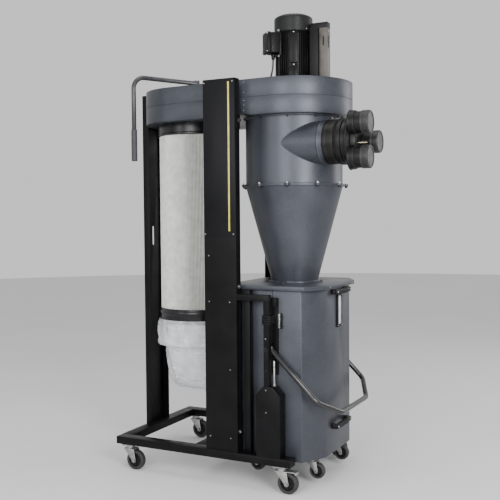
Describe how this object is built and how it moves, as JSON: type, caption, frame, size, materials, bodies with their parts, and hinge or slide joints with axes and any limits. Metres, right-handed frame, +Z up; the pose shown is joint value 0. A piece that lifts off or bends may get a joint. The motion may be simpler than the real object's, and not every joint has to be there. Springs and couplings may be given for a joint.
{
  "type": "cyclone dust collector",
  "caption": "Mobile cyclone separator with a tangential inlet, cone, lift-off dust bin, fan housing with motor and a pleated canister filter on a wheeled base.",
  "frame": {"origin": "on the floor under the centre of the whole machine's box", "axes": "+Z up, +X from the filter end to the inlet end, +Y from the side with the covered post to the rear"},
  "size_m": [1.305, 0.72, 2.275],
  "materials": {
    "black_powder_coat": "fine satin powder coat",
    "grey_paint": "grey metallic powder coat",
    "zinc_plate": "bright zinc plating",
    "motor_enamel": "black enamel on cast aluminium",
    "fan_cover_paint": "dark grey enamel",
    "black_plastic": "moulded, fine grain",
    "cap_plastic": "moulded, fine grain",
    "coupling_rubber": "smooth moulded rubber",
    "filter_pleats": "pleated spunbond polyester behind a wire mesh",
    "filter_collar_paint": "gloss black paint",
    "clear_bag": "clear polyethylene film",
    "starter_paint": "warm grey enamel",
    "window_acrylic": "clear acrylic in a black frame",
    "gasket_foam": "closed-cell foam",
    "cable_jacket": "smooth rubber",
    "caster_tyre": "solid black rubber tread",
    "crank_paint": "dark grey paint",
    "grip_rubber": "foam rubber"
  },
  "bodies": {
    "frame": {"base_side_rails": "black_powder_coat", "base_cross_rails": "black_powder_coat", "side_posts": "black_powder_coat", "end_post": "black_powder_coat", "front_post_panel": "black_powder_coat", "duct_brackets": "zinc_plate", "base_caster_plates": "zinc_plate", "housing_lower_band": "grey_paint", "housing_upper_band": "grey_paint", "housing_top": "grey_paint", "housing_bottom": "grey_paint", "motor_body": "motor_enamel", "motor_fan_cover": "fan_cover_paint", "motor_junction_box": "motor_enamel", "starter_cover": "starter_paint", "starter_back_box": "black_powder_coat", "motor_cable": "cable_jacket", "cyclone_barrel": "grey_paint", "cyclone_cone": "grey_paint", "inlet_pipe": "grey_paint", "inlet_coupling": "coupling_rubber", "manifold_drum": "black_plastic", "inlet_ports": "black_plastic", "filter_top_collar": "filter_collar_paint", "filter_media": "filter_pleats", "filter_bottom_collar": "filter_collar_paint", "dust_bag": "clear_bag", "crank_hub": "zinc_plate", "bin_lid": "grey_paint", "lid_posts": "black_powder_coat", "pedestals": "black_powder_coat", "lift_frames": "black_powder_coat"},
    "filter_crank": {"crank_arm": "crank_paint", "crank_grip": "grip_rubber"},
    "lift_lever": {"lift_bail": "crank_paint"},
    "bin": {"bin_shell": "grey_paint", "bin_gasket": "gasket_foam", "bin_window": "window_acrylic", "bin_handles": "black_plastic", "lift_straps": "black_powder_coat", "bin_caster_plates": "zinc_plate"},
    "cap_1": {"port_cap_1": "cap_plastic"},
    "cap_2": {"port_cap_2": "cap_plastic"},
    "cap_3": {"port_cap_3": "cap_plastic"},
    "base_fork_1": {"base_caster_fork_1": "zinc_plate"},
    "base_wheel_1": {"base_caster_wheel_1": "caster_tyre"},
    "base_fork_2": {"base_caster_fork_2": "zinc_plate"},
    "base_wheel_2": {"base_caster_wheel_2": "caster_tyre"},
    "base_fork_3": {"base_caster_fork_3": "zinc_plate"},
    "base_wheel_3": {"base_caster_wheel_3": "caster_tyre"},
    "base_fork_4": {"base_caster_fork_4": "zinc_plate"},
    "base_wheel_4": {"base_caster_wheel_4": "caster_tyre"},
    "bin_fork_1": {"bin_caster_fork_1": "zinc_plate"},
    "bin_wheel_1": {"bin_caster_wheel_1": "caster_tyre"},
    "bin_fork_2": {"bin_caster_fork_2": "zinc_plate"},
    "bin_wheel_2": {"bin_caster_wheel_2": "caster_tyre"},
    "bin_fork_3": {"bin_caster_fork_3": "zinc_plate"},
    "bin_wheel_3": {"bin_caster_wheel_3": "caster_tyre"},
    "bin_fork_4": {"bin_caster_fork_4": "zinc_plate"},
    "bin_wheel_4": {"bin_caster_wheel_4": "caster_tyre"}
  },
  "joints": [
    {"name": "crank_turn", "type": "hinge", "parent": "frame", "child": "filter_crank", "pos_m": [-0.3655, 0, 1.987], "axis": [0, 0, 1], "range_deg": [-175, 55]},
    {"name": "lift_lever_turn", "type": "hinge", "parent": "frame", "child": "lift_lever", "pos_m": [0.203, 0, 0.67], "axis": [0, -1, 0], "range_deg": [0, 90]},
    {"name": "bin_lift", "type": "slide", "parent": "frame", "child": "bin", "axis": [0, 0, 1], "range_m": [-0.0352, 0]},
    {"name": "cap_1_pull", "type": "slide", "parent": "frame", "child": "cap_1", "axis": [1, 0, 0], "range_m": [0, 0.15]},
    {"name": "cap_2_pull", "type": "slide", "parent": "frame", "child": "cap_2", "axis": [1, 0, 0], "range_m": [0, 0.15]},
    {"name": "cap_3_pull", "type": "slide", "parent": "frame", "child": "cap_3", "axis": [1, 0, 0], "range_m": [0, 0.15]},
    {"name": "base_swivel_1", "type": "hinge", "parent": "frame", "child": "base_fork_1", "pos_m": [-0.5875, -0.328, 0.1], "axis": [0, 0, 1], "continuous": true},
    {"name": "base_roll_1", "type": "hinge", "parent": "base_fork_1", "child": "base_wheel_1", "pos_m": [-0.5525, -0.328, 0.05], "axis": [0, 1, 0], "continuous": true},
    {"name": "base_swivel_2", "type": "hinge", "parent": "frame", "child": "base_fork_2", "pos_m": [0.2625, -0.328, 0.1], "axis": [0, 0, 1], "continuous": true},
    {"name": "base_roll_2", "type": "hinge", "parent": "base_fork_2", "child": "base_wheel_2", "pos_m": [0.2975, -0.328, 0.05], "axis": [0, 1, 0], "continuous": true},
    {"name": "base_swivel_3", "type": "hinge", "parent": "frame", "child": "base_fork_3", "pos_m": [-0.5875, 0.328, 0.1], "axis": [0, 0, 1], "continuous": true},
    {"name": "base_roll_3", "type": "hinge", "parent": "base_fork_3", "child": "base_wheel_3", "pos_m": [-0.5525, 0.328, 0.05], "axis": [0, 1, 0], "continuous": true},
    {"name": "base_swivel_4", "type": "hinge", "parent": "frame", "child": "base_fork_4", "pos_m": [0.2625, 0.328, 0.1], "axis": [0, 0, 1], "continuous": true},
    {"name": "base_roll_4", "type": "hinge", "parent": "base_fork_4", "child": "base_wheel_4", "pos_m": [0.2975, 0.328, 0.05], "axis": [0, 1, 0], "continuous": true},
    {"name": "bin_swivel_1", "type": "hinge", "parent": "bin", "child": "bin_fork_1", "pos_m": [0.0355, -0.165, 0.1115], "axis": [0, 0, 1], "continuous": true},
    {"name": "bin_roll_1", "type": "hinge", "parent": "bin_fork_1", "child": "bin_wheel_1", "pos_m": [0.0635, -0.165, 0.0735], "axis": [0, 1, 0], "continuous": true},
    {"name": "bin_swivel_2", "type": "hinge", "parent": "bin", "child": "bin_fork_2", "pos_m": [0.3495, -0.165, 0.1115], "axis": [0, 0, 1], "continuous": true},
    {"name": "bin_roll_2", "type": "hinge", "parent": "bin_fork_2", "child": "bin_wheel_2", "pos_m": [0.3775, -0.165, 0.0735], "axis": [0, 1, 0], "continuous": true},
    {"name": "bin_swivel_3", "type": "hinge", "parent": "bin", "child": "bin_fork_3", "pos_m": [0.0355, 0.165, 0.1115], "axis": [0, 0, 1], "continuous": true},
    {"name": "bin_roll_3", "type": "hinge", "parent": "bin_fork_3", "child": "bin_wheel_3", "pos_m": [0.0635, 0.165, 0.0735], "axis": [0, 1, 0], "continuous": true},
    {"name": "bin_swivel_4", "type": "hinge", "parent": "bin", "child": "bin_fork_4", "pos_m": [0.3495, 0.165, 0.1115], "axis": [0, 0, 1], "continuous": true},
    {"name": "bin_roll_4", "type": "hinge", "parent": "bin_fork_4", "child": "bin_wheel_4", "pos_m": [0.3775, 0.165, 0.0735], "axis": [0, 1, 0], "continuous": true}
  ],
  "couplings": [
    {"joint": "bin_lift", "follows": "lift_lever_turn", "m_per_rad": -0.022282}
  ]
}
